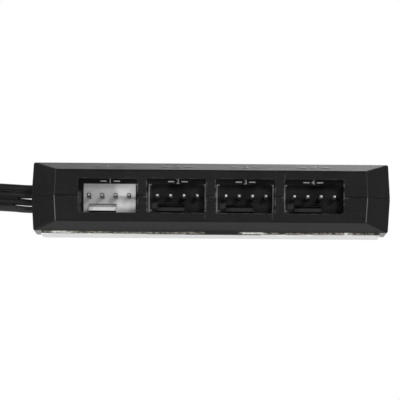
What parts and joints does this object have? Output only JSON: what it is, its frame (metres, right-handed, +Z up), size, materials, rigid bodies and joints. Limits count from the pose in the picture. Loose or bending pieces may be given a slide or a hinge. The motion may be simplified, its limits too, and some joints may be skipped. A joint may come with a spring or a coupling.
{
  "type": "pc fan controller hub",
  "caption": "Slim bevelled plastic box with a row of pin ports for computer fans, a flat lead with a plug, and an adhesive pad under its base.",
  "frame": {"origin": "under the middle of the box, on the release liner's lower face", "axes": "+X along the box's length, away from the lead; -Y out of the ports; +Z up"},
  "size_m": [0.1315, 0.0526, 0.0136],
  "materials": {
    "housing_plastic": "fine spark-eroded texture, satin",
    "board_laminate": "black solder mask with white print",
    "header_white": "moulded nylon, satin",
    "header_black": "moulded nylon, satin",
    "tinned_brass": "bright tin plating",
    "capacitor_can": "drawn can",
    "chip_ceramic": "glazed ceramic chip",
    "lead_insulation": "soft extruded vinyl, satin",
    "tie_fabric": "woven hook-and-loop strap",
    "pad_foam": "acrylic foam tape, cut edge",
    "liner_paper": "siliconised paper"
  },
  "bodies": {
    "root": {"upper_shell": "housing_plastic", "lower_shell": "housing_plastic", "circuit_board": "board_laminate", "header_1": "header_white", "header_2": "header_black", "header_3": "header_black", "header_4": "header_black", "header_pins_1": "tinned_brass", "header_pins_2": "tinned_brass", "header_pins_3": "tinned_brass", "header_pins_4": "tinned_brass", "bulk_capacitor": "capacitor_can", "chip_resistors": "chip_ceramic", "lead_conductors": "tinned_brass", "lead_cores": "lead_insulation", "lead_ribbon": "lead_insulation", "lead_coil": "lead_insulation", "lead_tail": "lead_insulation", "coil_tie": "tie_fabric", "plug_housing": "header_black", "plug_contacts": "tinned_brass", "adhesive_pad": "pad_foam", "release_liner": "liner_paper"}
  },
  "joints": []
}
